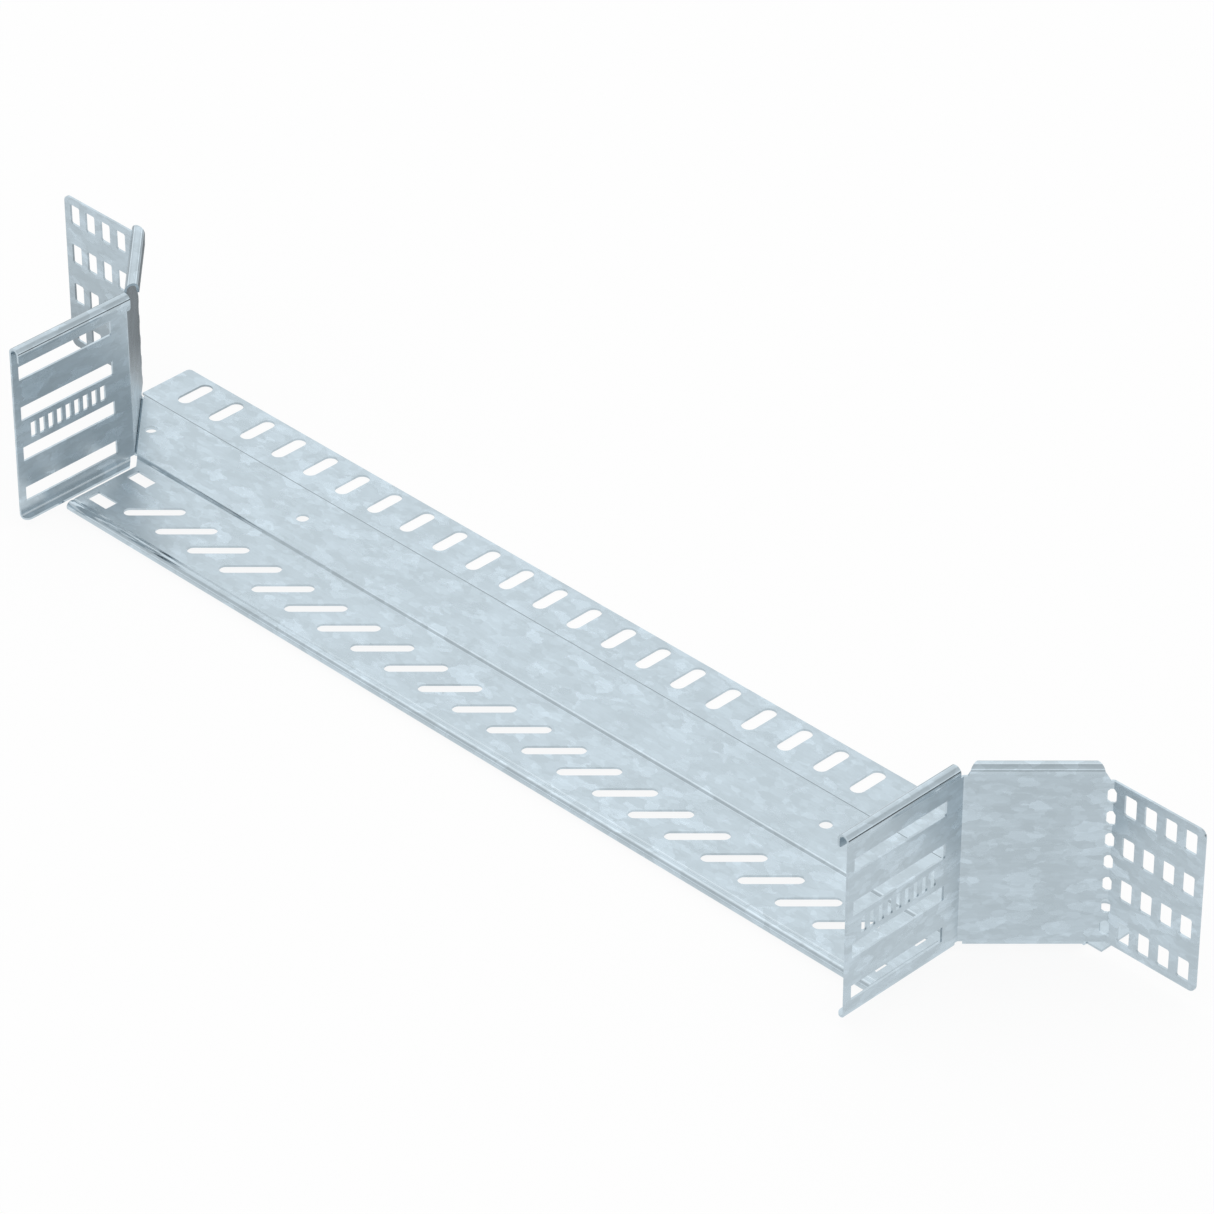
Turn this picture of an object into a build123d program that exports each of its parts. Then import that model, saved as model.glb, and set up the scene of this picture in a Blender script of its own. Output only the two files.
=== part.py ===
"""Cable tray branch tee: a floor sheet between two folded side walls, all of galvanised sheet steel.

X runs along the main tray, +Y from the branch tray towards the main tray, +Z up. While the sheets are
drawn, Y is counted from the row of diagonal slots and Z from the face that the part rests on. The
finished parts are moved so that the origin is the bottom centre of the whole tee's box.
"""
from build123d import *
import os
from math import cos, radians, sin, tan

# Sheet and its folds
SHEET = 1.25                # thickness of all three sheets
FOLD_INSIDE = 1.2           # inside radius of the walls' bottom folds
FOLD_LEG = 2.85             # height of a bottom fold's strip, up to the plain wall
BEND_INSIDE = 0.6           # inside radius of the floor's bends and of the upright folds

# Plan of the right-hand side, at the outer faces of the walls
BRANCH_WIDTH = 595.6        # across the two side plates
PLATE_REACH = 52.4          # slot row to the front edge of a side plate
FLARE_AT = 26.5             # slot row to the fold where a wall flares out
FLARE_ANGLE = 45.0          # turn of each upright fold
FLARE_LENGTH = 70.6         # flared panel, from fold to fold
LUG_LENGTH = 56.2           # outer plate that lies against the main tray

# Heights above the resting face
WALL_TOP = 111.1            # top of the rolled edges
PLAIN_TOP = 105.35          # wall's bare edge beside the first upright fold
LUG_BOTTOM = 6.9
LUG_TOP = 102.6

# Rolled top edges
CURL_WIDTH = 7.2            # over the roll, from the wall's outer face
CURL_DROP = 8.7             # top of the roll to the end of its hanging lip
LIP_CORNER = 1.5            # round corners of that lip on the side plate
FLARE_CURL_START = 2.9      # first upright fold to the flared panel's roll
FLARE_CURL_END = 4.3        # that roll to the second upright fold
CURL_MITRE = 33.0           # its ends are cut back by this angle, seen from above
LIP_TRAIL = 4.0             # and its lip's ends by this length more, at the lower edge

# Bottom edges of the walls
FLANGE_WIDTH = 5.8          # side plate's flange, from its outer face
FLANGE_CORNER = 3.5         # round front corner of that flange
FLANGE_OVERRUN = 0.9        # flange's slanting rear end, outside the flared panel's face
PLATE_HEEL = 2.0            # round lower rear corner of the side plate
SLIT = 2.6                  # open slit between that flange and the floor
SEAT_WIDTH = 17.0           # flared panel's flange, on which the floor's middle band lies
EDGE_GAP = 0.1              # floor's slanting edge to the root of that flange
STRIP_PLATE = 1.9           # first upright fold to the side plate's roll and flange
STRIP_FOLD = 1.8            # that fold to the flared panel's plain wall
STRIP_FLARE = 1.5           # flat strip beside the second upright fold, on the flared panel
STRIP_LUG = 1.5             # and on the outer plate

# Floor section
BEAD_REACH = 27.4           # slot row to the foremost point of the front bead
BEAD_HEIGHT = 5.6           # bead's outer diameter, level with the front zone's top
BEAD_LIP = 1.2              # straight end of the bead, underneath
CREASE_BACK = 2.0           # bead's centre to the crease behind it
CREASE_DEPTH = 0.4
CREASE_HALF = 0.8           # half the crease's width
JOGGLE_BEHIND = 0.5         # first upright fold to the foot of the joggle
JOGGLE_RUN = 1.2            # the joggle rises by one sheet over this length
STEP_AHEAD = 6.0            # outer plate's face to the upper edge of the rear step
STEP_RUN = 4.1
STEP_BEND = 1.2             # room that the step's upper bend takes underneath
LAP_REACH = 34.0            # outer plate's face to the rear edge
LAP_INSET = 1.5             # lap's end, inside the second upright fold
LAP_AHEAD = 0.3             # lap's front edge at its tips, ahead of the outer plate's face
LAP_CORNER = 2.5

# Openings in the floor
SLOT_PITCH = 25.0           # both slot rows
SLANT_LENGTH = 33.0
SLANT_WIDTH = 7.0
SLANT_ANGLE = 45.0
LAP_SLOT_LENGTH = 22.6
LAP_SLOT_WIDTH = 8.5
LAP_SLOT_INSET = 14.7       # rear edge to the middle of the slots
KEYWAY_X = 15.0             # rectangular holes beside the slit
KEYWAY_Y = 8.3
KEYWAY_INSET = 11.7         # floor's side edge to the holes' middle
KEYWAY_PITCH = 27.9
KEYWAY_AHEAD = 24.95        # first upright fold to the middle of the pair
BOLT_HOLE = 7.0
BOLT_PITCH = 120.0
BOLT_OUTWARD = 11.5         # first upright fold to the outer hole
BOLT_AHEAD = 26.4           # outer plate's face to the holes

# Openings in the side plates
LADDER_COUNT = 4            # long slots, one above another
LADDER_PITCH = 25.0
LADDER_LENGTH = 63.5
LADDER_HEIGHT = 8.6
LADDER_FRONT = 4.2          # plate's front edge to the slots
LADDER_MIDDLE = 55.1        # height of the middle of the pattern
COMB_COUNT = 9              # short upright slots between the long ones
COMB_PITCH = 6.0
COMB_WIDTH = 3.6
COMB_HEIGHT = 9.2

# Openings in the outer plates and their fold
GRID_COUNT = 4              # columns and rows
GRID_PITCH_X = 12.4
GRID_PITCH_Z = 25.0
GRID_WIDTH = 7.5
GRID_HEIGHT = 12.0
GRID_FIRST = 10.7           # second upright fold to the first column
GRID_CORNER = 0.7           # cut off each corner
LUG_CORNER = 4.0
STITCH_COUNT = 7            # holes on the fold, which make it easy to bend by hand
STITCH_PITCH = 13.05
STITCH_WIDTH = 4.7
STITCH_SHIFT = -0.5          # their middle, from the fold towards the flared panel
STITCH_HEIGHT = 8.4
STITCH_CORNER = 1.5         # cut off each corner

# Worked out from the sizes above
FOLD_OUTSIDE = FOLD_INSIDE + SHEET
BEND_OUTSIDE = BEND_INSIDE + SHEET
HEADING_PLATE = Vector(0, 1)
HEADING_FLARE = Vector(sin(radians(FLARE_ANGLE)), cos(radians(FLARE_ANGLE)))
HEADING_LUG = Vector(sin(radians(2 * FLARE_ANGLE)), cos(radians(2 * FLARE_ANGLE)))
FIRST_FOLD = Vector(BRANCH_WIDTH / 2, FLARE_AT)
SECOND_FOLD = FIRST_FOLD + HEADING_FLARE * FLARE_LENGTH
LUG_FACE = SECOND_FOLD.Y
LUG_MIDDLE = (LUG_BOTTOM + LUG_TOP) / 2
UNDER = BEAD_HEIGHT - SHEET                                     # underside of front zone and flanges
PLAIN_BOTTOM = UNDER + FOLD_LEG                                 # lower edge of the plain walls
SEAT_START = (JOGGLE_BEHIND + JOGGLE_RUN) / HEADING_FLARE.Y     # along the flared panel, clear of the joggle
SEAT_END = LUG_FACE - STEP_AHEAD - STEP_BEND                    # Y where that flange ends, ahead of the step
ROLL_RADIUS = CURL_WIDTH / 2
ROLL_MIDDLE = WALL_TOP - ROLL_RADIUS
LIP_END = WALL_TOP - CURL_DROP
REAR_EDGE = LUG_FACE + LAP_REACH
FLOOR_HALF = BRANCH_WIDTH / 2 - FLANGE_WIDTH - SLIT
LAP_HALF = SECOND_FOLD.X - LAP_INSET
KEYWAY_MIDDLE = FLOOR_HALF - KEYWAY_INSET
SLANT_COUNT = int(2 * (KEYWAY_MIDDLE - KEYWAY_X / 2) / SLOT_PITCH)
LAP_COUNT = int(2 * LAP_HALF / SLOT_PITCH)
CLEAR = 2.0                                                     # how far a cutter reaches past what it cuts


def sheet_face(path, side):
    """A path thickened to the sheet's section, on one side of it."""
    return make_face(offset(path, amount=SHEET, side=side))


def wall_plane(corner, heading):
    """Upright plane on a wall's outer face: x along the wall, y up, z out of the branch."""
    outwards = (heading.Y, -heading.X, 0)
    return Plane(origin=(corner.X, corner.Y, 0), x_dir=(heading.X, heading.Y, 0), z_dir=outwards)


def section_plane(corner, heading, along):
    """Plane across a wall: x into the branch, y up, z along the wall."""
    start = corner + heading * along
    inwards = (-heading.Y, heading.X, 0)
    return Plane(origin=(start.X, start.Y, 0), x_dir=inwards, z_dir=(heading.X, heading.Y, 0))


def plan_plane(corner, heading):
    """Level plane at a wall's corner: x along the wall, y into the branch."""
    return Plane(origin=(corner.X, corner.Y, 0), x_dir=(heading.X, heading.Y, 0), z_dir=(0, 0, 1))


def slanting_line(inset, across):
    """Point at a given X on the line that lies inside the flared panel's outer face."""
    shift = FIRST_FOLD + Vector(-HEADING_FLARE.Y, HEADING_FLARE.X) * inset
    return Vector(across, shift.Y + (across - shift.X) * HEADING_FLARE.Y / HEADING_FLARE.X)


def row(count, pitch):
    """Places of an evenly spaced row about its middle."""
    return [(index - (count - 1) / 2) * pitch for index in range(count)]


def clipped(width, height, corner):
    """Rectangular hole with its corners cut off."""
    outline = Rectangle(width, height)
    return chamfer(outline.vertices(), corner)


def punch(plane, shape, places, reach=CURL_WIDTH):
    """Cutters of one shape at several places of a plane."""
    return [extrude(plane * Pos(*place) * shape, amount=reach, both=True) for place in places]


def corner_cutter(plane, corner, inwards, radius):
    """Cutter that rounds off a square corner; inwards holds the signs of the way into the sheet."""
    across, up = inwards[0] * radius, inwards[1] * radius
    square = Pos(corner[0] + across / 2, corner[1] + up / 2) * Rectangle(radius, radius)
    disc = Pos(corner[0] + across, corner[1] + up) * Circle(radius)
    return extrude(plane * (square - disc), amount=CURL_WIDTH + CLEAR, both=True)


def floor_section():
    """Upper face of the floor from the bead's lip to the rear edge, thickened downwards."""
    radius = BEAD_HEIGHT / 2
    centre = radius - BEAD_REACH
    crease = centre + CREASE_BACK
    joggle = FLARE_AT + JOGGLE_BEHIND
    step = LUG_FACE - STEP_AHEAD
    middle_top = BEAD_HEIGHT + SHEET
    inside, outside = BEND_INSIDE, BEND_OUTSIDE
    lip = Line((centre + BEAD_LIP, 0), (centre, 0))
    roll = ThreePointArc((centre, 0), (-BEAD_REACH, radius), (centre, BEAD_HEIGHT))
    top = FilletPolyline(
        (centre, BEAD_HEIGHT),
        (crease - CREASE_HALF, BEAD_HEIGHT),
        (crease, BEAD_HEIGHT - CREASE_DEPTH),
        (crease + CREASE_HALF, BEAD_HEIGHT),
        (joggle, BEAD_HEIGHT),
        (joggle + JOGGLE_RUN, middle_top),
        (step, middle_top),
        (step + STEP_RUN, SHEET),
        (REAR_EDGE, SHEET),
        radius=[outside, inside, outside, inside, outside, outside, inside],
    )
    return sheet_face(lip + roll + top, Side.RIGHT)


def floor_plan():
    """Outline of the floor from above, right-hand half, mirrored to the whole."""
    edge = FOLD_OUTSIDE + EDGE_GAP
    corner = slanting_line(edge, FLOOR_HALF)
    slant_end = corner.X + SEAT_END - corner.Y
    tip_front = LUG_FACE - LAP_AHEAD
    half = make_face(Polyline(
        (0, -BEAD_REACH - CLEAR),
        (FLOOR_HALF, -BEAD_REACH - CLEAR),
        (corner.X, corner.Y),
        (slant_end, SEAT_END),
        (slant_end, tip_front),
        (LAP_HALF, tip_front),
        (LAP_HALF, REAR_EDGE),
        (0, REAR_EDGE),
        close=True,
    ))
    tip = half.vertices().sort_by(Axis.X)[-2:].sort_by(Axis.Y)[-1]
    half = fillet(tip, LAP_CORNER)
    return half + mirror(half, about=Plane.YZ)


def bolt_places(sides):
    """Middles of the round holes on the given sides of the floor, outer one first."""
    outer = FIRST_FOLD.X + BOLT_OUTWARD
    return [(side * x, LUG_FACE - BOLT_AHEAD) for side in sides for x in (outer, outer - BOLT_PITCH)]


def floor_openings():
    """Cutters for every hole in the floor."""
    slants = [(x, 0) for x in row(SLANT_COUNT, SLOT_PITCH)]
    laps = [(x, REAR_EDGE - LAP_SLOT_INSET) for x in row(LAP_COUNT, SLOT_PITCH)]
    key_y = FLARE_AT - KEYWAY_AHEAD
    keys = [(side * KEYWAY_MIDDLE, key_y + y) for side in (-1, 1) for y in row(2, KEYWAY_PITCH)]
    reach = 2 * BEAD_HEIGHT
    cutters = punch(Plane.XY, SlotOverall(SLANT_LENGTH, SLANT_WIDTH, rotation=SLANT_ANGLE), slants, reach)
    cutters += punch(Plane.XY, SlotOverall(LAP_SLOT_LENGTH, LAP_SLOT_WIDTH, rotation=90), laps, reach)
    cutters += punch(Plane.XY, Rectangle(KEYWAY_X, KEYWAY_Y), keys, reach)
    cutters += punch(Plane.XY, Circle(BOLT_HOLE / 2), bolt_places((-1, 1)), reach)
    return cutters


def floor_plate():
    """Bead, front zone, joggled middle band, step and rear lap, cut to their outline."""
    span = extrude(Plane.YZ * floor_section(), amount=LAP_HALF + CLEAR, both=True)
    blank = extrude(floor_plan(), amount=2 * BEAD_HEIGHT, both=True)
    return (span & blank) - floor_openings()


def wall(corner, heading, outline):
    """Flat wall of the sheet's thickness from its outline (along, height)."""
    return extrude(wall_plane(corner, heading) * make_face(Polyline(*outline, close=True)), amount=-SHEET)


def bottom_fold(corner, heading, start, length, width):
    """Wall's lowest strip with the flange that turns in from it."""
    path = FilletPolyline((width, UNDER), (0, UNDER), (0, PLAIN_BOTTOM), radius=FOLD_OUTSIDE)
    face = section_plane(corner, heading, start) * sheet_face(path, Side.RIGHT)
    return extrude(face, amount=length)


def curl(corner, heading, start, end, mitre=0.0, trail=0.0):
    """Top edge rolled over into the branch, with ends cut back by the mitre and the lip's by the trail."""
    arch = ThreePointArc((0, ROLL_MIDDLE), (ROLL_RADIUS, WALL_TOP), (CURL_WIDTH, ROLL_MIDDLE))
    path = arch + Line((CURL_WIDTH, ROLL_MIDDLE), (CURL_WIDTH, LIP_END))
    roll = extrude(section_plane(corner, heading, start) * sheet_face(path, Side.RIGHT), amount=end - start)
    slope = tan(radians(mitre))
    outer = slope * CLEAR
    inner = slope * (CURL_WIDTH + CLEAR)
    from_above = make_face(Polyline(
        (start - outer, -CLEAR),
        (end + outer, -CLEAR),
        (end - inner, CURL_WIDTH + CLEAR),
        (start + inner, CURL_WIDTH + CLEAR),
        close=True,
    ))
    lip = slope * (CURL_WIDTH - SHEET)
    from_side = make_face(Polyline(
        (start - CLEAR, ROLL_MIDDLE),
        (start + lip, ROLL_MIDDLE),
        (start + lip + trail, LIP_END),
        (end - lip - trail, LIP_END),
        (end - lip, ROLL_MIDDLE),
        (end + CLEAR, ROLL_MIDDLE),
        (end + CLEAR, WALL_TOP + CLEAR),
        (start - CLEAR, WALL_TOP + CLEAR),
        close=True,
    ))
    roll &= extrude(plan_plane(corner, heading) * from_above, amount=WALL_TOP + CLEAR)
    return roll & extrude(wall_plane(corner, heading) * from_side, amount=CURL_WIDTH + CLEAR, both=True)


def upright_fold(corner, heading_in, heading_out, back, ahead, bottom, top):
    """Strip of wall that turns at an upright fold."""
    start = corner - heading_in * back
    end = corner + heading_out * ahead
    path = FilletPolyline((start.X, start.Y), (corner.X, corner.Y), (end.X, end.Y), radius=BEND_INSIDE)
    return extrude(Pos(0, 0, bottom) * sheet_face(path, Side.LEFT), amount=top - bottom)


def side_plate():
    """Wall beside the branch tray, with its roll, flange and slots."""
    origin = Vector(FIRST_FOLD.X, 0)
    plane = wall_plane(origin, HEADING_PLATE)
    front = -PLATE_REACH
    rear = FLARE_AT - STRIP_PLATE
    body = wall(origin, HEADING_PLATE, [
        (front, PLAIN_BOTTOM),
        (front, ROLL_MIDDLE),
        (rear, ROLL_MIDDLE),
        (rear, PLAIN_BOTTOM),
    ])
    roll = curl(origin, HEADING_PLATE, front, rear)
    roll -= corner_cutter(plane, (front, LIP_END), (1, 1), LIP_CORNER)
    roll -= corner_cutter(plane, (rear, LIP_END), (-1, 1), LIP_CORNER)
    body += roll
    body += side_flange(origin, front, rear) - corner_cutter(plane, (rear, UNDER), (-1, 1), PLATE_HEEL)
    middle = LADDER_FRONT + LADDER_LENGTH / 2 - PLATE_REACH
    ladder = [(middle, LADDER_MIDDLE + z) for z in row(LADDER_COUNT, LADDER_PITCH)]
    comb = [(middle + y, LADDER_MIDDLE) for y in row(COMB_COUNT, COMB_PITCH)]
    body -= punch(plane, Rectangle(LADDER_LENGTH, LADDER_HEIGHT), ladder)
    body -= punch(plane, Rectangle(COMB_WIDTH, COMB_HEIGHT), comb)
    return body


def side_flange(origin, front, rear):
    """Flange under the side plate: round front corner, rear end parallel to the flared panel."""
    flange = bottom_fold(origin, HEADING_PLATE, front, rear - front, FLANGE_WIDTH)
    inner = FIRST_FOLD.X - FLANGE_WIDTH
    outer = FIRST_FOLD.X + CLEAR
    outline = make_face(Polyline(
        (outer, front - CLEAR),
        (inner - CLEAR, front - CLEAR),
        (inner - CLEAR, slanting_line(-FLANGE_OVERRUN, inner - CLEAR).Y),
        (outer, slanting_line(-FLANGE_OVERRUN, outer).Y),
        close=True,
    ))
    flange &= extrude(outline, amount=WALL_TOP)
    return flange - corner_cutter(Plane.XY, (inner, front), (1, 1), FLANGE_CORNER)


def flared_panel():
    """Wall that flares from the side plate out to the main tray, with its roll and flange."""
    end = FLARE_LENGTH - STRIP_FLARE
    roll_end = FLARE_LENGTH - FLARE_CURL_END
    body = wall(FIRST_FOLD, HEADING_FLARE, [
        (STRIP_FOLD, PLAIN_BOTTOM),
        (end, PLAIN_BOTTOM),
        (end, LUG_TOP),
        (roll_end, ROLL_MIDDLE),
        (FLARE_CURL_START, ROLL_MIDDLE),
        (STRIP_FOLD, PLAIN_TOP),
    ])
    body += curl(FIRST_FOLD, HEADING_FLARE, FLARE_CURL_START, roll_end, CURL_MITRE, LIP_TRAIL)
    return body + seat()


def seat():
    """Flared panel's flange under the floor, ended ahead of the floor's step."""
    end = FLARE_LENGTH - STRIP_FLARE
    fold = bottom_fold(FIRST_FOLD, HEADING_FLARE, SEAT_START, end - SEAT_START, SEAT_WIDTH)
    beyond = Box(2 * FLARE_LENGTH, FLARE_LENGTH, LUG_BOTTOM, align=(Align.CENTER, Align.MIN, Align.MIN))
    hole = punch(Plane.XY, Circle(BOLT_HOLE / 2), bolt_places((1,))[:1], 2 * BEAD_HEIGHT)
    return fold - Pos(FIRST_FOLD.X, SEAT_END) * beyond - hole


def outer_plate():
    """Perforated plate that lies against the main tray's side."""
    outline = make_face(Polyline(
        (STRIP_LUG, LUG_BOTTOM),
        (LUG_LENGTH, LUG_BOTTOM),
        (LUG_LENGTH, LUG_TOP),
        (STRIP_LUG, LUG_TOP),
        close=True,
    ))
    outline = fillet(outline.vertices().sort_by(Axis.X)[-2:], LUG_CORNER)
    plane = wall_plane(SECOND_FOLD, HEADING_LUG)
    places = [
        (GRID_FIRST + column * GRID_PITCH_X, LUG_MIDDLE + z)
        for column in range(GRID_COUNT)
        for z in row(GRID_COUNT, GRID_PITCH_Z)
    ]
    plate = extrude(plane * outline, amount=-SHEET)
    return plate - punch(plane, clipped(GRID_WIDTH, GRID_HEIGHT, GRID_CORNER), places)


def stitches():
    """Cutters for the holes on the second upright fold, square to the mean of both walls."""
    mean = (HEADING_FLARE + HEADING_LUG).normalized()
    places = [(STITCH_SHIFT, LUG_MIDDLE + z) for z in row(STITCH_COUNT, STITCH_PITCH)]
    return punch(wall_plane(SECOND_FOLD, mean), clipped(STITCH_WIDTH, STITCH_HEIGHT, STITCH_CORNER), places)


def side_wall():
    """The right-hand wall: side plate, flared panel and outer plate, folded from one strip."""
    first = upright_fold(
        FIRST_FOLD, HEADING_PLATE, HEADING_FLARE, STRIP_PLATE, STRIP_FOLD, PLAIN_BOTTOM, PLAIN_TOP
    )
    second = upright_fold(
        SECOND_FOLD, HEADING_FLARE, HEADING_LUG, STRIP_FLARE, STRIP_LUG, LUG_BOTTOM, LUG_TOP
    )
    return (side_plate() + first + flared_panel() + second + outer_plate()) - stitches()


def tee_parts():
    """The three sheets by name, as drawn."""
    right = side_wall()
    return {
        "floor_plate": floor_plate(),
        "side_wall_right": right,
        "side_wall_left": mirror(right, about=Plane.YZ),
    }


os.makedirs("parts", exist_ok=True)
to_centre = Pos(0, (PLATE_REACH - REAR_EDGE) / 2, 0)
for name, shape in tee_parts().items():
    placed = to_centre * shape
    placed.label = name
    export_step(placed, f"parts/{name}.step")
    box = placed.bounding_box()
    print(name, "solids", len(placed.solids()), "volume", round(placed.volume, 1), "box", box.min, box.max)
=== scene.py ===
# %% [markdown]
# # Cable tray branch tee
#
# The real object is three sheets of galvanised steel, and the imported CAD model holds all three
# with their true folds, rolls and punched holes. It could be modelled again here with a new mesh
# for each sheet, but a copy could only drift away from the measured shape. So the sheets stay as
# they are, and this file gives them what a CAD model lacks: the zinc coating, a camera and light.

# %% Load the sheets
from math import radians

import bpy
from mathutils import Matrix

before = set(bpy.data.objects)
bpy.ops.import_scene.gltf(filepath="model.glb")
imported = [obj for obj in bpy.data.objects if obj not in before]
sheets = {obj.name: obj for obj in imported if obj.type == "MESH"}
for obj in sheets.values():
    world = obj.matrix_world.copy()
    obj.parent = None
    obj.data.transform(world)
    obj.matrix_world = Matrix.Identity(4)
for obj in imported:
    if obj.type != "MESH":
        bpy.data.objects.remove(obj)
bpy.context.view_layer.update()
print("sheets:", sorted(sheets))

# %% [markdown]
# ## Camera
#
# The photograph looks down on one corner of the tee from far away, so that lines along the tray
# and across it stay almost parallel. An orthographic camera would make them quite parallel. A
# long lens at the right distance keeps the slight narrowing towards the back, so the camera is a
# plain perspective one, turned 45 degrees round the object and tilted 35 degrees down.

# %% Place the camera
CAMERA_AT = (1.81822, -1.75985, 1.82526)
CAMERA_TURN = (55.0, 0.0, 45.0)
LENS = 182.37
SENSOR_WIDTH = 36.0
SEES_TO = 50.0

camera_data = bpy.data.cameras.new("camera")
camera_data.sensor_width = SENSOR_WIDTH
camera_data.lens = LENS
camera_data.clip_end = SEES_TO
camera = bpy.data.objects.new("camera", camera_data)
camera.location = CAMERA_AT
camera.rotation_euler = [radians(angle) for angle in CAMERA_TURN]
bpy.context.scene.collection.objects.link(camera)
bpy.context.scene.camera = camera
print("lens", camera_data.lens)

# %% [markdown]
# ## Helpers for node graphs
#
# Every finish below is a graph of nodes. Adding a node and wiring it takes the same few lines each
# time, so two small functions do it: one adds a node and sets its properties, the other joins two
# sockets. An effect that several finishes share is put into a node group, which works like a node
# of one's own, and a third function makes an empty one with named sockets.


# %% Nodes and groups
FLOAT = "NodeSocketFloat"
VECTOR = "NodeSocketVector"


def add_node(tree, kind, place, **values):
    """A node of one kind at a place in the graph, with its properties set."""
    node = tree.nodes.new(kind)
    node.location = place
    for name, value in values.items():
        setattr(node, name, value)
    return node


def join(tree, start, end):
    """A wire from an output socket to an input socket."""
    tree.links.new(start, end)


def new_group(name, inputs, outputs):
    """An empty node group with named sockets, and the nodes where they enter and leave."""
    group = bpy.data.node_groups.new(name, "ShaderNodeTree")
    for label, kind, value in inputs:
        socket = group.interface.new_socket(label, in_out="INPUT", socket_type=kind)
        if value is not None:
            socket.default_value = value
    for label in outputs:
        group.interface.new_socket(label, in_out="OUTPUT", socket_type=FLOAT)
    entry = add_node(group, "NodeGroupInput", (-1200, 0))
    leave = add_node(group, "NodeGroupOutput", (900, 0))
    return group, entry, leave


print("socket kinds:", FLOAT, VECTOR)

# %% [markdown]
# ## Ragged borders
#
# Hot-dip zinc freezes in crystals, which show as flat flakes with torn borders. A texture's cells
# have straight borders. They could be blurred, but then the flakes would look like clouds. Here
# the place at which the texture is read is pushed to and fro by a fine noise instead, so that the
# borders stay sharp and wander.

# %% Place with noise
RAGGED = 0.006
BORDER_WAVES = 210.0
BORDER_DETAIL = 3.0


def ragged_place(group, entry):
    """The place where crystals are read, shifted by noise as far as the input Ragged says."""
    bend = add_node(group, "ShaderNodeTexNoise", (-1000, -260))
    bend.inputs["Scale"].default_value = BORDER_WAVES
    bend.inputs["Detail"].default_value = BORDER_DETAIL
    join(group, entry.outputs["Place"], bend.inputs["Vector"])
    centred = add_node(group, "ShaderNodeVectorMath", (-820, -260), operation="SUBTRACT")
    centred.inputs[1].default_value = (0.5, 0.5, 0.5)
    join(group, bend.outputs["Color"], centred.inputs[0])
    shift = add_node(group, "ShaderNodeVectorMath", (-640, -260), operation="SCALE")
    join(group, centred.outputs[0], shift.inputs[0])
    join(group, entry.outputs["Ragged"], shift.inputs["Scale"])
    place = add_node(group, "ShaderNodeVectorMath", (-460, -120), operation="ADD")
    join(group, entry.outputs["Place"], place.inputs[0])
    join(group, shift.outputs[0], place.inputs[1])
    return place.outputs[0]


print("borders wander by up to", RAGGED / 2, "m")

# %% [markdown]
# ## Zinc crystals
#
# Most crystals are a plain grey, and a few shine lighter, because each one reflects the room at
# its own angle. A noise texture has no edges and would look like clouds. A Voronoi texture cuts
# the sheet into cells with one random value each, which is what crystals are. Raising that value
# to a power leaves only a few light ones. The real coating has large and small flakes and some
# dull ones, so the group reads the texture at three sizes and gives each its own output.

# %% Group: zinc crystals
CRYSTALS_PER_METRE = 92.0
# output, how many times more cells per metre, and the power that makes most of them plain
CRYSTAL_KINDS = (("Large", 1.0, 3.0), ("Small", 2.2, 4.0), ("Dull", 1.5, 3.0))


def crystal_tone(group, place, scale, power, row):
    """One random tone per cell: near 0 for most cells, near 1 for a few."""
    cells = add_node(group, "ShaderNodeTexVoronoi", (-260, row), feature="F1")
    join(group, place, cells.inputs["Vector"])
    join(group, scale, cells.inputs["Scale"])
    parts = add_node(group, "ShaderNodeSeparateColor", (-60, row))
    join(group, cells.outputs["Color"], parts.inputs[0])
    sharp = add_node(group, "ShaderNodeMath", (120, row), operation="POWER")
    sharp.inputs[1].default_value = power
    join(group, parts.outputs["Red"], sharp.inputs[0])
    return sharp.outputs[0]


def crystal_group():
    """Tones of large and small zinc crystals and of the dull ones between, each from 0 to 1."""
    inputs = [
        ("Place", VECTOR, None),
        ("Crystals per metre", FLOAT, CRYSTALS_PER_METRE),
        ("Ragged", FLOAT, RAGGED),
    ]
    labels = [label for label, _, _ in CRYSTAL_KINDS]
    group, entry, leave = new_group("zinc crystals", inputs, labels)
    place = ragged_place(group, entry)
    for step, (label, factor, power) in enumerate(CRYSTAL_KINDS):
        scale = add_node(group, "ShaderNodeMath", (-460, -420 - 160 * step), operation="MULTIPLY")
        scale.inputs[1].default_value = factor
        join(group, entry.outputs["Crystals per metre"], scale.inputs[0])
        tone = crystal_tone(group, place, scale.outputs[0], power, 200 - 200 * step)
        join(group, tone, leave.inputs[label])
    return group


crystals = crystal_group()
print("group:", crystals.name)

# %% [markdown]
# ## Rolled steel under the zinc
#
# Between the crystals the coating is a little uneven, and the rolling mill leaves very faint lines
# along the strip. They could be drawn as stripes, but real ones fade in and out. Here one noise is
# stretched along the strip for the lines, and two plain ones give the unevenness and a fine grain.
# They are a group of their own because both the colour and the roughness of each sheet need them.

# %% Group: rolled surface
# output, whether it is stretched along the strip, waves per metre, and detail
ROLLED_KINDS = (
    ("Lines", True, 700.0, 3.0),
    ("Cloud", False, 38.0, 4.0),
    ("Grain", False, 900.0, 3.0),
)
ALONG_STRIP = 0.08


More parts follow.
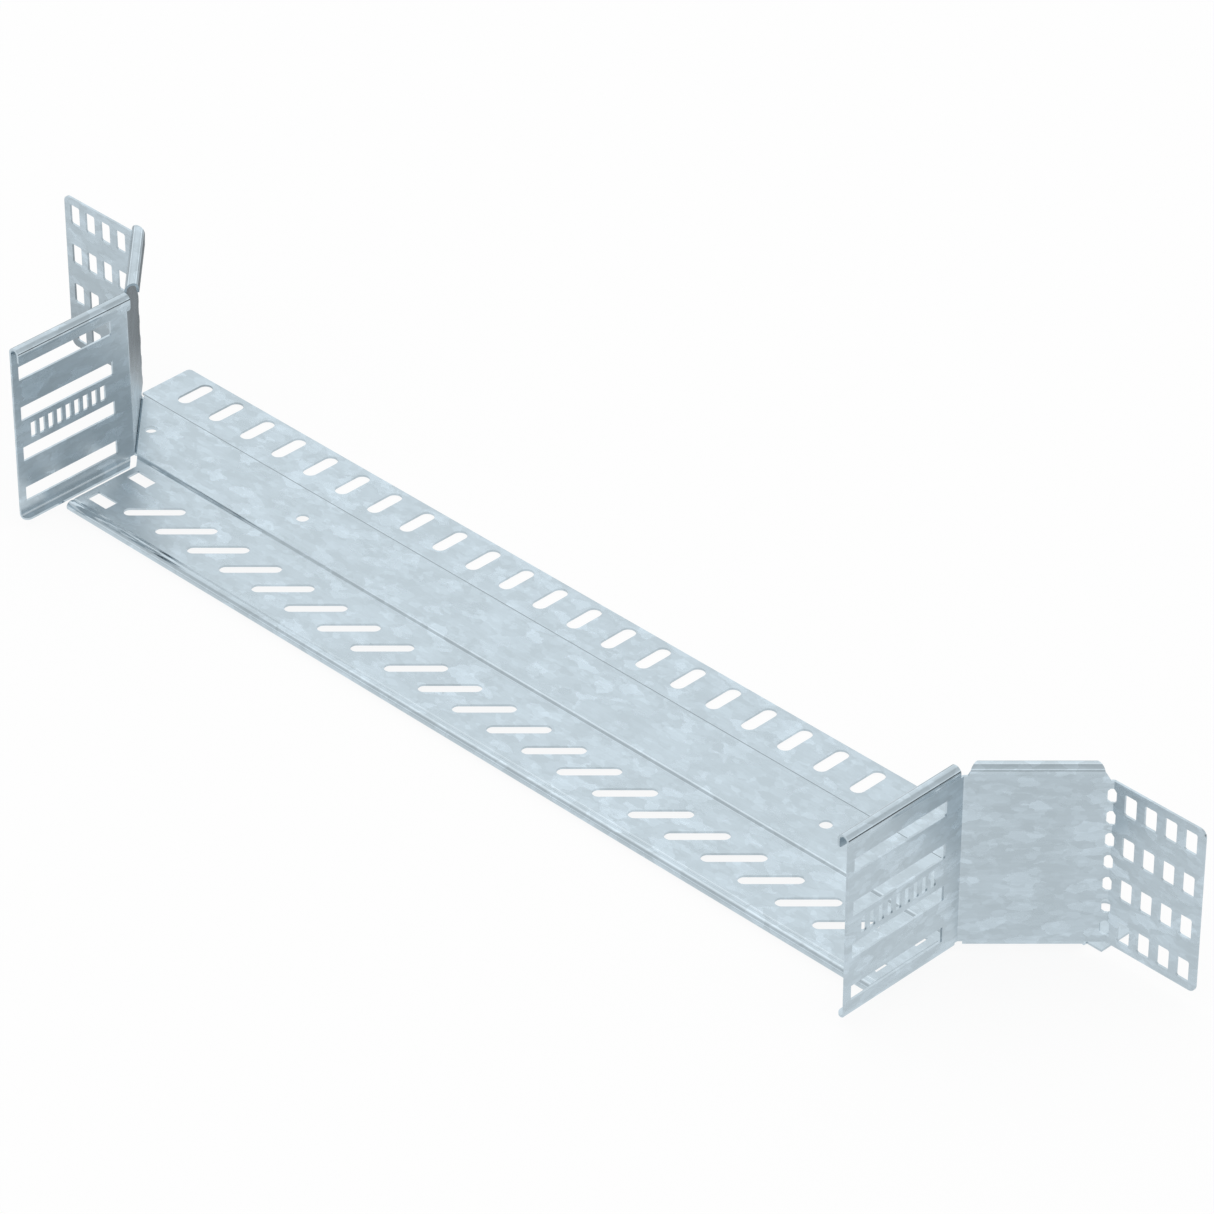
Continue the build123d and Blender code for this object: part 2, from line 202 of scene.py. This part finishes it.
def rolled_group():
    """Faint rolling lines, soft unevenness and fine grain, each from -0.5 to 0.5."""
    inputs = [("Place", VECTOR, None), ("Stretch", VECTOR, (ALONG_STRIP, 1.0, 1.0))]
    labels = [label for label, _, _, _ in ROLLED_KINDS]
    group, entry, leave = new_group("rolled surface", inputs, labels)
    stretched = add_node(group, "ShaderNodeVectorMath", (-900, 200), operation="MULTIPLY")
    join(group, entry.outputs["Place"], stretched.inputs[0])
    join(group, entry.outputs["Stretch"], stretched.inputs[1])
    for step, (label, along, waves, detail) in enumerate(ROLLED_KINDS):
        row = 200 - 260 * step
        noise = add_node(group, "ShaderNodeTexNoise", (-660, row))
        noise.inputs["Scale"].default_value = waves
        noise.inputs["Detail"].default_value = detail
        place = stretched.outputs[0] if along else entry.outputs["Place"]
        join(group, place, noise.inputs["Vector"])
        centred = add_node(group, "ShaderNodeMath", (-400, row), operation="SUBTRACT")
        centred.inputs[1].default_value = 0.5
        join(group, noise.outputs["Fac"], centred.inputs[0])
        join(group, centred.outputs[0], leave.inputs[label])
    return group


rolled = rolled_group()
print("group:", rolled.name)

# %% [markdown]
# ## Masks on a sheet
#
# The two groups are placed in each material with values of its own. On the floor plate the
# crystals lie along the floor, and on the upright walls they lie level, as on a strip that was
# pulled out of the zinc bath along its length. The texture could be turned to follow each panel of
# a wall, but squeezing it in height alone makes level crystals on walls of any direction.

# %% Masks of one sheet
def surface_masks(tree, place, offset, stretch, lines):
    """Both groups' outputs by name, for one sheet's start and stretch of the pattern."""
    mapping = add_node(tree, "ShaderNodeMapping", (-1300, 0))
    mapping.inputs["Location"].default_value = offset
    mapping.inputs["Scale"].default_value = stretch
    join(tree, place, mapping.inputs["Vector"])
    zinc = add_node(tree, "ShaderNodeGroup", (-1060, 160), node_tree=crystals)
    join(tree, mapping.outputs[0], zinc.inputs["Place"])
    steel = add_node(tree, "ShaderNodeGroup", (-1060, -160), node_tree=rolled)
    steel.inputs["Stretch"].default_value = lines
    join(tree, place, steel.inputs["Place"])
    return {socket.name: socket for node in (zinc, steel) for socket in node.outputs}


def weigh(tree, parts, start, place):
    """A constant plus weighted masks, added one after another."""
    total = None
    for step, (socket, weight) in enumerate(parts):
        at = (place[0] + 180 * step, place[1])
        node = add_node(tree, "ShaderNodeMath", at, operation="MULTIPLY_ADD")
        node.inputs[1].default_value = weight
        node.inputs[2].default_value = start
        join(tree, socket, node.inputs[0])
        if total is not None:
            join(tree, total, node.inputs[2])
        total = node.outputs[0]
    return total


print("masks:", [label for label, *_ in CRYSTAL_KINDS + ROLLED_KINDS])

# %% [markdown]
# ## Rolls and bends
#
# Bending stretches the zinc and rubs it against the tool, so rolls and folds come out smoother
# than the flat sheet and show sharper lines of light. Their faces could be given a material of
# their own, but its border would be a hard line. Each bend lies at one place along Y or Z on its
# sheet, so a soft window on that coordinate finds it. On the tight crest of the rear step a fine
# line of painted shade darkens the colour.

# %% Window on a coordinate
BEND_SOFT = 0.001
CREST_SHADE_SOFT = 0.0003
# where along Y the front bead, the joggle and the rear step lie, and the step's crest, which gets
# a line of painted shade
FLOOR_BENDS = ((-0.0564, -0.0510), (-0.0022, -0.0001), (0.0405, 0.0460))
FLOOR_SHADED_CRESTS = ((0.0409, 0.0419),)
# where along Z the top roll and the bottom fold lie
WALL_BENDS = ((0.1070, 0.1115), (0.0040, 0.0070))


def window(tree, socket, start, end, soft, place):
    """1 where the value lies between start and end, falling to 0 over the soft distance."""
    middle, half = (start + end) / 2, (end - start) / 2
    across, down = place
    off = add_node(tree, "ShaderNodeMath", place, operation="SUBTRACT")
    off.inputs[1].default_value = middle
    join(tree, socket, off.inputs[0])
    size = add_node(tree, "ShaderNodeMath", (across + 180, down), operation="ABSOLUTE")
    join(tree, off.outputs[0], size.inputs[0])
    edge = add_node(tree, "ShaderNodeMapRange", (across + 360, down))
    edge.interpolation_type = "SMOOTHSTEP"
    edge.inputs["From Min"].default_value = half + soft
    edge.inputs["From Max"].default_value = half
    join(tree, size.outputs[0], edge.inputs["Value"])
    return edge.outputs["Result"]


print("bends on the floor plate:", len(FLOOR_BENDS), "and on a wall:", len(WALL_BENDS))

# %% [markdown]
# ## Colour of the zinc
#
# Zinc is a metal, so nearly all of its colour is a blurred reflection of what is round it, and
# the base colour only tints it. One grey would look like paint. The light flakes are a touch bluer
# than the grey between them, so the masks are weighed into one tone, and the tone mixes two zinc
# colours. On the crests a darker grey is laid over them as painted shade.

# %% Zinc colour
ZINC_GREY = (0.520, 0.571, 0.601, 1)
ZINC_LIGHT = (0.680, 0.750, 0.800, 1)
# painted shade: a darker grey laid on the crests, not a colour of the zinc
CREST_PAINTED_SHADE = (0.250, 0.278, 0.296, 1)
TONE_START = 0.14
TONE_PARTS = (
    ("Large", 0.52), ("Small", 0.34), ("Dull", -0.30), ("Cloud", 0.55), ("Lines", 0.35),
)


def zinc_colour(tree, masks, coordinate, shaded_crests):
    """Grey and light zinc mixed by the masks, and a line of painted shade on the crests."""
    parts = [(masks[name], share) for name, share in TONE_PARTS]
    tone = weigh(tree, parts, TONE_START, (-800, 260))
    mix = add_node(tree, "ShaderNodeMix", (200, 260), data_type="RGBA")
    mix.inputs["A"].default_value = ZINC_GREY
    mix.inputs["B"].default_value = ZINC_LIGHT
    join(tree, tone, mix.inputs["Factor"])
    colour = mix.outputs["Result"]
    # a fine line of painted shade along each crest
    for row, (start, end) in enumerate(shaded_crests):
        at = (-400, 600 + 200 * row)
        crest_shade = window(tree, coordinate, start, end, CREST_SHADE_SOFT, at)
        shaded = add_node(tree, "ShaderNodeMix", (400, 500), data_type="RGBA")
        shaded.inputs["B"].default_value = CREST_PAINTED_SHADE
        join(tree, colour, shaded.inputs["A"])
        join(tree, crest_shade, shaded.inputs["Factor"])
        colour = shaded.outputs["Result"]
    return colour


print("tone runs from grey", ZINC_GREY[:3], "to light", ZINC_LIGHT[:3])

# %% [markdown]
# ## Roughness and grain
#
# The roughness blurs the reflection. It is a little lower on the large light flakes, uneven in
# soft clouds, and much lower on rolls and bends. A very shallow bump of the fine grain breaks up
# the reflection on the flat sheet, as the bath leaves it. Real dents would need a finer mesh.

# %% Zinc roughness and grain
ROUGHNESS = 0.30
BEND_ROUGHNESS = 0.10
ROUGHNESS_PARTS = (("Large", -0.05), ("Cloud", 0.16))
GRAIN_DEPTH = 0.00001


def zinc_roughness(tree, masks, coordinate, bends):
    """Roughness of the flat sheet, uneven with its masks and lower inside the bends."""
    parts = [(masks[name], share) for name, share in ROUGHNESS_PARTS]
    for row, (start, end) in enumerate(bends):
        at = (-1100, -700 - 200 * row)
        bend = window(tree, coordinate, start, end, BEND_SOFT, at)
        parts.append((bend, BEND_ROUGHNESS - ROUGHNESS))
    return weigh(tree, parts, ROUGHNESS, (-800, -60))


def zinc_grain(tree, masks):
    """Normal with the fine grain as a very shallow bump."""
    bump = add_node(tree, "ShaderNodeBump", (-200, -360))
    bump.inputs["Strength"].default_value = 1.0
    bump.inputs["Distance"].default_value = GRAIN_DEPTH
    join(tree, masks["Grain"], bump.inputs["Height"])
    return bump.outputs[0]


print("roughness", ROUGHNESS, "and on bends", BEND_ROUGHNESS)

# %% [markdown]
# ## Galvanised sheet
#
# One function builds the whole finish, and each of the three sheets gets its own, because its
# crystals start at a place of their own. One material for all would be simpler, but the crystals
# of two sheets would then run on into each other where they meet. Metallic is the same all over,
# so it is set on the shader itself.

# %% Material: galvanised sheet
FLOOR_LOOK = {
    "stretch": (1.0, 1.5, 1.0), "lines": (ALONG_STRIP, 1.0, 1.0),
    "axis": "Y", "bends": FLOOR_BENDS, "shaded_crests": FLOOR_SHADED_CRESTS,
}
WALL_LOOK = {
    "stretch": (1.0, 1.0, 1.9), "lines": (ALONG_STRIP, ALONG_STRIP, 1.0),
    "axis": "Z", "bends": WALL_BENDS, "shaded_crests": (),
}


def galvanised(name, offset, stretch, lines, axis, bends, shaded_crests):
    """Zinc-coated sheet: its pattern's start, stretch and lines, and its bends along one axis."""
    material = bpy.data.materials.new(name)
    material.use_nodes = True
    tree = material.node_tree
    shader = tree.nodes["Principled BSDF"]
    place = add_node(tree, "ShaderNodeTexCoord", (-1500, 0)).outputs["Object"]
    masks = surface_masks(tree, place, offset, stretch, lines)
    axes = add_node(tree, "ShaderNodeSeparateXYZ", (-1300, -700))
    join(tree, place, axes.inputs[0])
    coordinate = axes.outputs[axis]
    join(tree, zinc_colour(tree, masks, coordinate, shaded_crests), shader.inputs["Base Color"])
    join(tree, zinc_roughness(tree, masks, coordinate, bends), shader.inputs["Roughness"])
    join(tree, zinc_grain(tree, masks), shader.inputs["Normal"])
    shader.inputs["Metallic"].default_value = 1.0
    return material


FINISHES = {
    "floor_plate": galvanised("galvanised floor", (0, 0, 0), **FLOOR_LOOK),
    "side_wall_right": galvanised("galvanised right wall", (0.31, 0.17, 0.05), **WALL_LOOK),
    "side_wall_left": galvanised("galvanised left wall", (-0.23, 0.41, 0.12), **WALL_LOOK),
}
for node_name, material in FINISHES.items():
    for slot in sheets[node_name].material_slots:
        slot.material = material
    print(node_name, "has", material.name)

# %% [markdown]
# ## Ground
#
# The photograph is a cut-out on white. Here the tee lies on a white ground that runs on to a white
# world, so that the metal has a pale room to reflect, and the ground still takes a soft shadow. A
# big plane is enough, a hair below the tee, so that the two faces don't flicker.

# %% Ground plane
GROUND_SIZE = 12.0
GROUND_DROP = 0.0002

bpy.ops.object.select_all(action="DESELECT")
bpy.ops.mesh.primitive_plane_add(size=GROUND_SIZE, location=(0, 0, -GROUND_DROP))
ground = bpy.context.object
ground.name = "ground"
bpy.ops.object.transform_apply(location=True, rotation=True, scale=True)
print("ground", ground.dimensions)

# %% [markdown]
# ## Ground in the metal
#
# What the metal reflects needn't be what the camera sees. In the metal the ground glows white only
# near the tee and greyer further off, as a table in a room is. Its glow is darkest beyond its
# right rear corner, a painted dark zone which draws the thin dark lines along the rolls, and close
# behind the left wall, a painted shadow of that wall, which the flared panel there reflects. Lamps
# could hardly do this on white, so soft oval patches change the brightness that mirror rays find.

# %% Patches of the ground
TABLE_FAR = 0.66
# middle and half size of a patch, share of the half size where it starts and is full, its change
TABLE_PATCHES = (
    ((0.00, 0.00, 0.0), (0.90, 0.50, 1.0), 0.95, 0.65, 0.30),
    # painted dark zone beyond the right rear corner, seen only in the metal
    ((2.00, 2.30, 0.0), (2.05, 2.05, 1.0), 1.00, 0.93, -0.60),
    # painted shadow close behind the left wall, seen only in the metal
    ((-0.44, 0.17, 0.0), (0.20, 0.20, 1.0), 1.00, 0.45, -0.70),
)


def patch(tree, place, middle, half, start, full, row):
    """1 inside an oval patch of the ground, falling to 0 outside it."""
    off = add_node(tree, "ShaderNodeVectorMath", (-1500, row), operation="SUBTRACT")
    off.inputs[1].default_value = middle
    join(tree, place, off.inputs[0])
    scaled = add_node(tree, "ShaderNodeVectorMath", (-1300, row), operation="DIVIDE")
    scaled.inputs[1].default_value = half
    join(tree, off.outputs[0], scaled.inputs[0])
    reach = add_node(tree, "ShaderNodeVectorMath", (-1100, row), operation="LENGTH")
    join(tree, scaled.outputs[0], reach.inputs[0])
    fall = add_node(tree, "ShaderNodeMapRange", (-900, row), interpolation_type="SMOOTHSTEP")
    fall.inputs["From Min"].default_value = start
    fall.inputs["From Max"].default_value = full
    join(tree, reach.outputs["Value"], fall.inputs["Value"])
    return fall.outputs["Result"]


def table_brightness(tree):
    """Brightness of the ground in the metal: far from the tee, and changed by each patch."""
    place = add_node(tree, "ShaderNodeTexCoord", (-1700, -700)).outputs["Object"]
    parts = []
    for step, (middle, half, start, full, change) in enumerate(TABLE_PATCHES):
        oval = patch(tree, place, middle, half, start, full, -500 - 200 * step)
        parts.append((oval, change))
    return weigh(tree, parts, TABLE_FAR, (-700, -500))


print("patches of the ground:", len(TABLE_PATCHES))

# %% [markdown]
# ## Ground material
#
# A matt white shader takes the shadow. A white backdrop usually needs strong lamps, which would
# wash out the metal. Here the camera, and nothing else, sees the ground as a white glow with only
# a tenth of the matt shader in it, so that the shadow stays faint. Mirror and glass rays are told
# apart by the Light Path node too, and they get the brightness made above.

# %% Material: white ground
GROUND_WHITE = (0.87, 0.87, 0.87, 1)
GROUND_ROUGHNESS = 0.9
CAMERA_GLOW = 0.90
WHITE = (1, 1, 1, 1)
ROOM_TINT = (0.905, 0.965, 1.0, 1)


def mirror_ray(tree, path, place):
    """1 for mirror and glass rays, 0 for all others."""
    either = add_node(tree, "ShaderNodeMath", place, operation="MAXIMUM")
    join(tree, path.outputs["Is Glossy Ray"], either.inputs[0])
    join(tree, path.outputs["Is Transmission Ray"], either.inputs[1])
    return either.outputs[0]


def glow(tree, colour, place):
    """An emission of one colour, with strength 1 until its socket says otherwise."""
    node = add_node(tree, "ShaderNodeEmission", place)
    node.inputs["Color"].default_value = colour
    node.inputs["Strength"].default_value = 1.0
    return node


def mix_shaders(tree, share, first, second, place):
    """The first shader where the share is 0, and the second where it is 1."""
    mix = add_node(tree, "ShaderNodeMixShader", place)
    join(tree, share, mix.inputs[0])
    join(tree, first.outputs[0], mix.inputs[1])
    join(tree, second.outputs[0], mix.inputs[2])
    return mix


def ground_material():
    """Matt white that takes shadows, whiter to the camera, and its own table in the metal."""
    material = bpy.data.materials.new("white ground")
    material.use_nodes = True
    tree = material.node_tree
    matt = tree.nodes["Principled BSDF"]
    matt.inputs["Base Color"].default_value = GROUND_WHITE
    matt.inputs["Roughness"].default_value = GROUND_ROUGHNESS
    matt.inputs["Specular IOR Level"].default_value = 0.0
    path = add_node(tree, "ShaderNodeLightPath", (-900, 400))
    share = add_node(tree, "ShaderNodeMath", (-600, 400), operation="MULTIPLY")
    share.inputs[1].default_value = CAMERA_GLOW
    join(tree, path.outputs["Is Camera Ray"], share.inputs[0])
    seen = mix_shaders(tree, share.outputs[0], matt, glow(tree, WHITE, (0, -300)), (300, 0))
    mirrored = glow(tree, ROOM_TINT, (0, -500))
    join(tree, table_brightness(tree), mirrored.inputs["Strength"])
    both = mix_shaders(tree, mirror_ray(tree, path, (-600, 200)), seen, mirrored, (600, 0))
    join(tree, both.outputs[0], tree.nodes["Material Output"].inputs["Surface"])
    return material


ground.data.materials.append(ground_material())
print("ground has", ground.data.materials[0].name)

# %% [markdown]
# ## Room in the metal
#
# Bare metal shows its lights as reflections, so small lamps would leave hard spots. Here the white
# room itself is uneven: grey just above the ground, then a bright low band all round, like long
# strip lights or windows, and greyer overhead. A curved edge squeezes these bands into thin lines,
# which is what makes it look rolled. The room is a little brighter high up behind the tee, where
# the floor plate finds its reflection, and dark low on the right, beyond the table's corner.

# %% Room bands and parts
BAND_MOST = 1.35
# sine of the height above the horizon, and brightness there as a share of BAND_MOST
ROOM_BANDS = (
    (0.0, 0.42), (0.06, 0.46), (0.13, 0.78), (0.17, 1.0),
    (0.22, 1.0), (0.28, 0.72), (0.45, 0.60), (1.0, 0.53),
)
# direction, cosines of the angles from it where the part starts and is full, and its change
ROOM_PARTS = (
    ((-0.50, 0.50, 0.707), 0.78, 0.97, 0.32),
    ((0.81, 0.58, -0.08), 0.94, 0.99, -0.55),
)


def room_bands(tree, unit):
    """Brightness of the room by height above the horizon, as a share of BAND_MOST."""
    axes = add_node(tree, "ShaderNodeSeparateXYZ", (-1300, 300))
    join(tree, unit, axes.inputs[0])
    ramp = add_node(tree, "ShaderNodeValToRGB", (-1100, 300))
    stops = ramp.color_ramp.elements
    while len(stops) < len(ROOM_BANDS):
        stops.new(0.5)
    for stop, (height, share) in zip(stops, ROOM_BANDS):
        stop.position = height
        stop.color = (share, share, share, 1)
    join(tree, axes.outputs["Z"], ramp.inputs[0])
    return ramp.outputs["Color"]


def room_part(tree, unit, direction, start, full, row):
    """1 round one direction in the room, falling to 0 away from it."""
    near = add_node(tree, "ShaderNodeVectorMath", (-1300, row), operation="DOT_PRODUCT")
    near.inputs[1].default_value = direction
    join(tree, unit, near.inputs[0])
    rise = add_node(tree, "ShaderNodeMapRange", (-1100, row), interpolation_type="SMOOTHSTEP")
    rise.inputs["From Min"].default_value = start
    rise.inputs["From Max"].default_value = full
    join(tree, near.outputs["Value"], rise.inputs["Value"])
    return rise.outputs["Result"]


print("bands:", len(ROOM_BANDS), "parts:", len(ROOM_PARTS))

# %% [markdown]
# ## World
#
# The world is the room. It could be one plain white, but then the metal would look like grey
# paint. Mirror rays find the uneven room made above. The camera and everything matt get plain
# white, at the strength at which a colour renders about as it is written.

# %% White world
ROOM_LIGHT = 1.0


def background(tree, colour, strength, place):
    """A world shader of one colour and strength."""
    node = add_node(tree, "ShaderNodeBackground", place)
    node.inputs["Color"].default_value = colour
    node.inputs["Strength"].default_value = strength
    return node


def room_brightness(tree):
    """Brightness of the room in the metal, from its bands and parts."""
    place = add_node(tree, "ShaderNodeTexCoord", (-1700, 0))
    unit = add_node(tree, "ShaderNodeVectorMath", (-1500, 0), operation="NORMALIZE")
    join(tree, place.outputs["Generated"], unit.inputs[0])
    parts = [(room_bands(tree, unit.outputs[0]), BAND_MOST)]
    for step, (direction, start, full, change) in enumerate(ROOM_PARTS):
        part = room_part(tree, unit.outputs[0], direction, start, full, -200 * step)
        parts.append((part, change))
    return weigh(tree, parts, 0.0, (-900, 200))


def white_world():
    """White to the camera, plain light on matt things, and an uneven room to the metal."""
    world = bpy.data.worlds.new("white room")
    world.use_nodes = True
    tree = world.node_tree
    tree.nodes.remove(tree.nodes["Background"])
    path = add_node(tree, "ShaderNodeLightPath", (-900, -300))
    plain = background(tree, WHITE, ROOM_LIGHT, (-300, -100))
    reflected = background(tree, ROOM_TINT, 1.0, (-300, 200))
    join(tree, room_brightness(tree), reflected.inputs["Strength"])
    both = mix_shaders(tree, mirror_ray(tree, path, (-500, -300)), plain, reflected, (100, 0))
    join(tree, both.outputs[0], tree.nodes["World Output"].inputs["Surface"])
    return world


bpy.context.scene.world = white_world()
print("world:", bpy.context.scene.world.name)

# %% [markdown]
# ## Lamp
#
# The world alone lights the ground so evenly that the tee seems to float. A point lamp or the sun
# would lay a hard shadow under it. A large square panel far above gives a soft one, and its weak
# reflection is too wide to show as a spot.

# %% Soft panel
PANEL_AT = (-0.9, 0.3, 2.8)
PANEL_TURN = (-6, -18, 0)
PANEL_SIZE = 2.4
PANEL_POWER = 5.0

panel_data = bpy.data.lights.new("soft panel", "AREA")
panel_data.shape = "SQUARE"
panel_data.size = PANEL_SIZE
panel_data.energy = PANEL_POWER
panel = bpy.data.objects.new("soft panel", panel_data)
panel.location = PANEL_AT
panel.rotation_euler = [radians(angle) for angle in PANEL_TURN]
bpy.context.scene.collection.objects.link(panel)
print("lamp:", panel.name, panel_data.energy, "W")

# %% [markdown]
# ## Finish
#
# The view transform is Standard, so colours come out as they are written.

# %% Colour view and finish
bpy.context.scene.view_settings.view_transform = "Standard"
